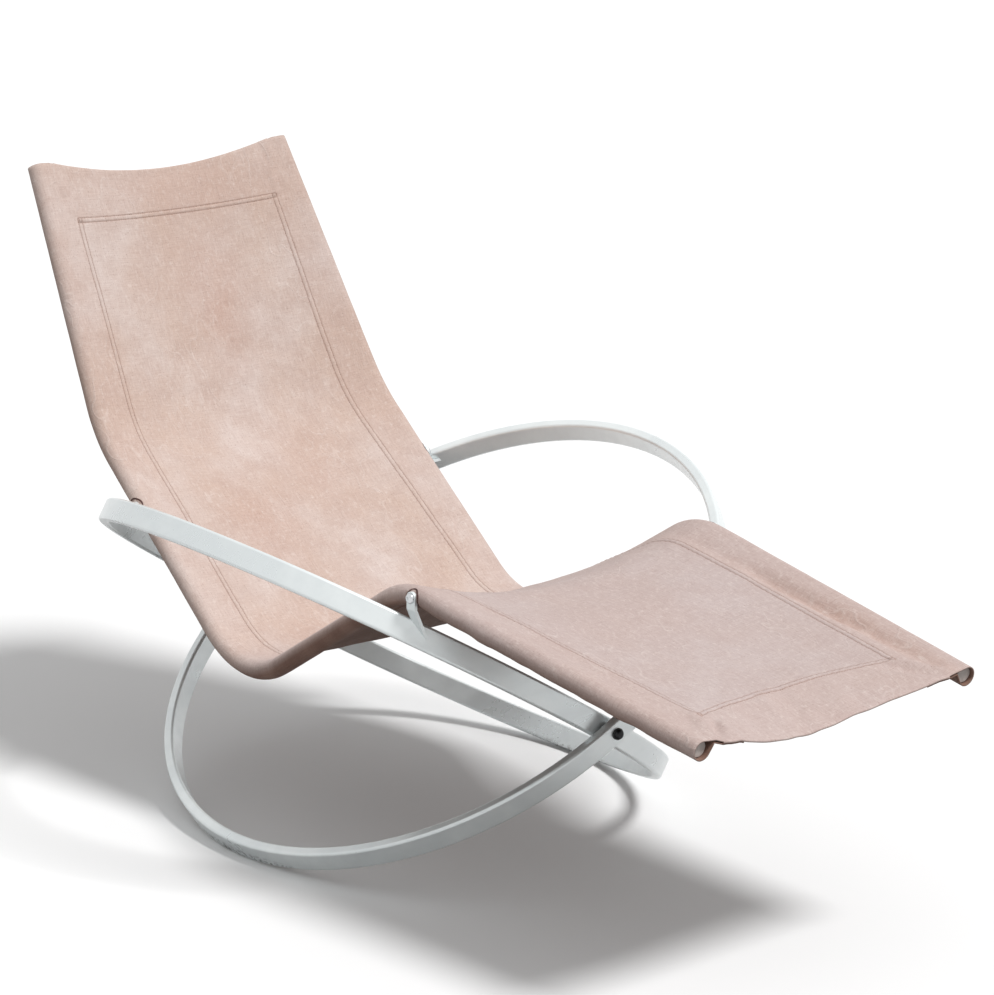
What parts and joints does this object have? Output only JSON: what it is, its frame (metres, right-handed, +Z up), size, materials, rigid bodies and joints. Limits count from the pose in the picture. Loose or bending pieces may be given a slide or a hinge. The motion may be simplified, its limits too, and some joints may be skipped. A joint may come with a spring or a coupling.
{
  "type": "rocking chaise lounge",
  "caption": "Rocking chaise lounge with two crossed tilted tubular hoops as runners and armrests, two bent side rails and a one-piece canvas sling; the hoops scissor shut about their pins.",
  "frame": {"origin": "on the floor, below the middle of the whole chaise's box", "axes": "+Z up, +Y towards the head end, +X towards the sitter's left"},
  "size_m": [0.822, 1.4618, 0.8565],
  "materials": {
    "frame_paint": "satin",
    "canvas": "matte",
    "zinc": "satin",
    "black_steel": "satin",
    "black_nylon": "matte",
    "grey_plastic": "matte"
  },
  "bodies": {
    "right_frame": {"rear_pivot_bolt": "black_steel", "rear_pivot_nut": "zinc", "rear_pivot_outer_saddle": "black_nylon", "rear_pivot_spacer": "black_nylon", "right_arm_hoop": "frame_paint", "right_front_lug": "frame_paint", "right_front_rail_bolt": "zinc", "right_front_rail_nut": "zinc", "right_rail_foot_plug": "grey_plastic", "right_rail_head_plug": "grey_plastic", "right_rear_lug": "frame_paint", "right_rear_rail_bolt": "zinc", "right_rear_rail_nut": "zinc", "right_side_rail": "frame_paint", "front_pivot_inner_saddle": "black_nylon", "sling": "canvas"},
    "left_frame": {"front_pivot_bolt": "black_steel", "front_pivot_nut": "zinc", "front_pivot_outer_saddle": "black_nylon", "front_pivot_spacer": "black_nylon", "left_arm_hoop": "frame_paint", "left_front_lug": "frame_paint", "left_front_rail_bolt": "zinc", "left_front_rail_nut": "zinc", "left_rail_foot_plug": "grey_plastic", "left_rail_head_plug": "grey_plastic", "left_rear_lug": "frame_paint", "left_rear_rail_bolt": "zinc", "left_rear_rail_nut": "zinc", "left_side_rail": "frame_paint", "rear_pivot_inner_saddle": "black_nylon"}
  },
  "joints": [
    {"name": "fold", "type": "hinge", "parent": "right_frame", "child": "left_frame", "pos_m": [0, 0.111, 0.21625], "axis": [0, -1, 0], "range_deg": [0, 33], "deforming": ["sling"]}
  ]
}
